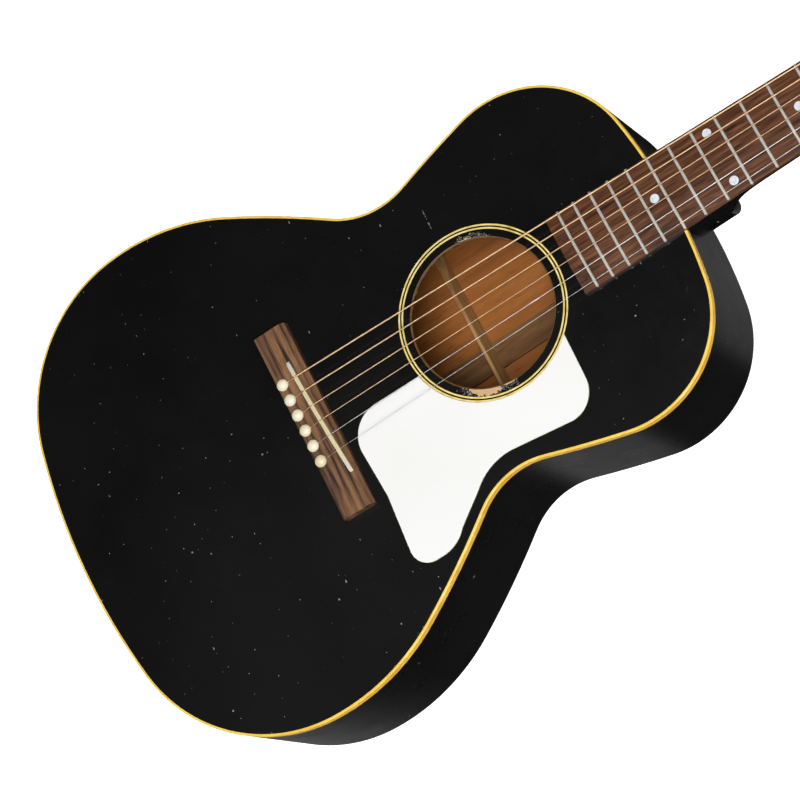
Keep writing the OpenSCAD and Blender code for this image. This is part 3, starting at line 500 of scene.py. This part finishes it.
def dress_metal():
    across, lengthways = (60, 1500, 1500), (300, 3, 300)
    nickel = metal("nickel", (0.60, 0.59, 0.55), (0.42, 0.40, 0.35))
    fret_wire = metal("fret wire", (0.88, 0.87, 0.81), (0.74, 0.72, 0.65), 0.36, across, 0.5)
    plain_wire = metal("plain string", (0.86, 0.86, 0.85), (0.74, 0.73, 0.72), 0.34, lengthways, 0.8)
    brass = metal("brass", (0.70, 0.47, 0.17), (0.42, 0.26, 0.10))
    steel = metal("steel", (0.72, 0.72, 0.72), (0.52, 0.51, 0.50), 0.25)
    dress(fret_wire, "frets")
    dress(nickel, "tuner_plates", "tuner_bushings", "headstock_screws")
    dress(nickel, *per_string("worm_shaft"), *per_string("string_post"))
    dress(brass, "truss_rod_nut", *per_string("tuner_gear"))
    dress(steel, "truss_rod")
    dress(plain_wire, "string_5", "string_6")
    for n, pitch in enumerate((0.45 * MM, 0.38 * MM, 0.30 * MM, 0.26 * MM), 1):
        dress(wound_wire(f"bronze winding {n}", pitch), f"string_{n}")


# ---- Pieces with worked edges ----
def level_normals(mesh):
    """Gives the faces that lie level exactly upright normals, so that their slivers show no streaks."""
    level = 0.004 * MM
    normals = [corner.vector.copy() for corner in mesh.corner_normals]
    for face in mesh.polygons:
        heights = [mesh.vertices[v].co.z for v in face.vertices]
        if max(heights) - min(heights) < level:
            for loop in face.loop_indices:
                normals[loop] = Vector((0, 0, math.copysign(1, face.normal.z)))
    mesh.normals_split_custom_set(normals)


def piece_from(name, bm, node, sharp=30, body="guitar"):
    """Makes an object from mesh code, which rides a body, stands for a CAD node and wears its materials."""
    mesh = bpy.data.meshes.new(name)
    bmesh.ops.recalc_face_normals(bm, faces=bm.faces)
    bm.to_mesh(mesh)
    bm.free()
    mesh.polygons.foreach_set("use_smooth", [True] * len(mesh.polygons))
    mesh.set_sharp_from_angle(angle=math.radians(sharp))
    level_normals(mesh)
    for material in nodes[node].data.materials:
        mesh.materials.append(material)
    piece = bpy.data.objects.new(name, mesh)
    bpy.context.scene.collection.objects.link(piece)
    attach(piece, body)
    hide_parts(node)


def soften(node, width=0, pick=None, segments=3, sharp=30, body="guitar"):
    """A smoothly shaded copy of a CAD node, with the picked edges rounded as sanding leaves them."""
    bm = bmesh.new()
    bm.from_mesh(nodes[node].data)
    bmesh.ops.remove_doubles(bm, verts=bm.verts, dist=0.002 * MM)
    bmesh.ops.dissolve_limit(bm, angle_limit=math.radians(0.4), verts=bm.verts, edges=bm.edges,
                             delimit={"MATERIAL"})
    if width:
        corner = math.radians(40)
        edges = [e for e in bm.edges if len(e.link_faces) == 2 and e.calc_face_angle(0) > corner and pick(e)]
        bmesh.ops.bevel(bm, geom=edges, offset=width, offset_type="OFFSET", segments=segments, profile=0.5,
                        affect="EDGES", clamp_overlap=True)
    piece_from(f"{node}_worked", bm, node, sharp, body)


def both_at(edge, test):
    return all(test(v.co) for v in edge.verts)


def wrap(bm, low, high):
    """Faces from one closed ring of vertices to the next."""
    count = len(low)
    for k in range(count):
        bm.faces.new((low[k], low[(k + 1) % count], high[(k + 1) % count], high[k]))


def revolve(bm, profile, sides=48):
    """Adds a body of revolution about Z from (radius, z) points that start and end on the axis."""
    turns = [math.tau * k / sides for k in range(sides)]
    rings = [[bm.verts.new((r * math.cos(t), r * math.sin(t), z)) for t in turns] for r, z in profile[1:-1]]
    for low, high in zip(rings, rings[1:]):
        wrap(bm, low, high)
    for ring, (_, z) in ((rings[0], profile[0]), (rings[-1], profile[-1])):
        tip = bm.verts.new((0, 0, z))
        for k in range(sides):
            bm.faces.new((ring[k], ring[(k + 1) % sides], tip))


def add_pins():
    """Six turned pins: a shank, a collar and a domed head."""
    lo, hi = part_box("bridge_pins")
    head_z, tip_z = hi.z - 4.2 * MM, hi.z - 28.2 * MM
    dome_z, dome_h, dome_fullness = head_z + 1.2 * MM, 3.0 * MM, 0.9
    dome = [math.radians(90 - 9 * k) for k in range(10)]
    profile = [(0, tip_z), (2.05 * MM, tip_z), (2.15 * MM, tip_z + 0.4 * MM),
               (2.6 * MM, head_z - 0.1 * MM), (2.6 * MM, head_z + 0.12 * MM),
               (3.6 * MM, head_z + 0.15 * MM), (4.15 * MM, head_z + 0.55 * MM)]
    profile += [(pin_head_r * math.sin(a), dome_z + dome_h * (1 - (1 - math.cos(a)) ** dome_fullness))
                for a in dome]
    profile += [(0, hi.z)]
    bm = bmesh.new()
    for n in range(pin_count):
        before = set(bm.verts)
        revolve(bm, profile)
        place = Vector((lo.x + pin_head_r + n * pin_pitch, (lo.y + hi.y) / 2, 0))
        bmesh.ops.translate(bm, vec=place, verts=[v for v in bm.verts if v not in before])
    piece_from("bridge_pins_turned", bm, "bridge_pins")


def add_saddle():
    """The saddle: a crowned bar with its upper edges rounded over and its ends eased."""
    lo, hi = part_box("saddle")
    slant, crown_r, half_t = math.tan(math.radians(3.7)), 450 * MM, 1.5 * MM
    round_over, end_gap, top_gap = 0.45 * MM, 0.15 * MM, 0.01 * MM
    end_drops, end_insets = (0.5 * MM, 0.12 * MM), (0.35 * MM, 0.08 * MM)
    steps = 60
    mid_x, mid_y = (lo.x + hi.x) / 2, (lo.y + hi.y) / 2
    arc = [math.radians(a) for a in range(15, 91, 15)]
    bm = bmesh.new()
    rings = []
    for k in range(steps + 1):
        x = lo.x + end_gap + (hi.x - lo.x - 2 * end_gap) * k / steps
        from_end = min(k, steps - k)
        drop, inset = (end_drops[from_end], end_insets[from_end]) if from_end < len(end_drops) else (0, 0)
        top = hi.z - x * x / (2 * crown_r) - drop - top_gap
        y = mid_y + (x - mid_x) * slant
        half = half_t - inset
        section = [(-half, lo.z), (-half, top - round_over)]
        section += [(-half + round_over * (1 - math.cos(a)), top - round_over + round_over * math.sin(a))
                    for a in arc]
        section += [(-u, z) for u, z in reversed(section)]
        rings.append([bm.verts.new((x - u * slant, y + u, z)) for u, z in section])
    for low, high in zip(rings, rings[1:]):
        wrap(bm, low, high)
    bm.faces.new(rings[0])
    bm.faces.new(rings[-1])
    piece_from("saddle_shaped", bm, "saddle", 45)


def work_edges():
    """Rounds the edges that the player's hands meet, and shades the carved and bent parts smoothly."""
    middle = (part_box("top_binding")[0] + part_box("top_binding")[1]) / 2
    guard_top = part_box("pickguard")[1].z
    block_lo, block_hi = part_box("bridge")

    def on_hole(v):
        return abs((v.xy - hole.xy).length - hole_r) < 0.3 * MM and v.z > near_top

    def hole_edge(edge):
        return both_at(edge, on_hole)

    def outer_rim(edge):
        away = ((edge.verts[0].co + edge.verts[1].co) / 2 - middle).xy
        facing_out = max(f.normal.xy.dot(away) for f in edge.link_faces) > 0.02
        return both_at(edge, lambda v: v.z > near_top) and facing_out

    def guard_edge(edge):
        return both_at(edge, lambda v: v.z > guard_top - 0.05 * MM)

    def block_edge(edge):
        low_end = both_at(edge, lambda v: v.x < block_lo.x + 0.1 * MM)
        high_end = both_at(edge, lambda v: v.x > block_hi.x - 0.1 * MM)
        return (low_end or high_end) and both_at(edge, lambda v: v.z > block_lo.z + 1 * MM)

    def button_edge(edge):
        return edge.calc_length() < 3 * MM or edge.calc_face_angle(0) > math.radians(80)

    soften("soundboard", 1.1 * MM, hole_edge, 4)
    soften("top_binding", 0.9 * MM, outer_rim, 4)
    soften("pickguard", 0.45 * MM, guard_edge)
    soften("bridge", 0.35 * MM, block_edge)
    for n in range(1, 7):
        soften(f"tuner_button_{n}", 1.1 * MM, button_edge, 4, 35, f"knob_{n}")
    for node in ("neck", "side_bass", "side_treble", "back_plate"):
        soften(node)
    soften("end_pin", sharp=50)
    add_pins()
    add_saddle()


# ---- Studio ----
def add_floor():
    """A white floor just under the guitar, unseen in reflections."""
    half = 6
    mesh = bpy.data.meshes.new("floor")
    corners = [(-half, -half, 0), (half, -half, 0), (half, half, 0), (-half, half, 0)]
    mesh.from_pydata(corners, [], [(0, 1, 2, 3)])
    floor = bpy.data.objects.new("floor", mesh)
    bpy.context.scene.collection.objects.link(floor)
    floor.location.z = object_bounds()[0].z - 0.5 * MM
    mesh.materials.append(studio_white("studio white"))
    floor.visible_glossy = False


def add_area_light(name, azimuth, elevation, size, power):
    """A round soft light which faces the soundhole from three metres away."""
    distance = 3.0
    data = bpy.data.lights.new(name, "AREA")
    data.shape = "DISK"
    data.size = size
    data.energy = power
    light = bpy.data.objects.new(name, data)
    out = direction(azimuth, elevation)
    light.location = hole + out * distance
    light.rotation_mode = "QUATERNION"
    light.rotation_quaternion = (-out).to_track_quat("-Z", "Y")
    bpy.context.scene.collection.objects.link(light)


def add_world():
    """Even light from above, and little from below, which is what the upright sides reflect."""
    world = bpy.data.worlds.new("studio")
    world.use_nodes = True
    tree = world.node_tree
    place = tree.nodes.new("ShaderNodeTexCoord")
    split = tree.nodes.new("ShaderNodeSeparateXYZ")
    level = tree.nodes.new("ShaderNodeMapRange")
    tree.links.new(place.outputs["Generated"], split.inputs[0])
    tree.links.new(split.outputs["Z"], level.inputs["Value"])
    for key, number in {"From Min": -0.4, "From Max": 0.0, "To Min": 0.03, "To Max": 0.11}.items():
        level.inputs[key].default_value = number
    tree.links.new(level.outputs["Result"], tree.nodes["Background"].inputs["Strength"])
    bpy.context.scene.world = world


def add_lights():
    """Key, fill and sheen above; the low pair is seen only as gloss on the sides, through the floor."""
    add_world()
    add_area_light("key", 100, 67, 1.2, 88)
    add_area_light("fill", 160, 72, 2.4, 20)
    add_area_light("sheen", 350.5, 72, 1.6, 0.8)
    add_area_light("low tail side", 3, -66, 1.6, 1.35)
    add_area_light("low head side", 200, -66, 1.7, 1.25)
    bpy.context.scene.view_settings.view_transform = "Standard"


add_camera()
dress_wood()
dress_plastic_and_bone()
dress_metal()
work_edges()
add_floor()
add_lights()
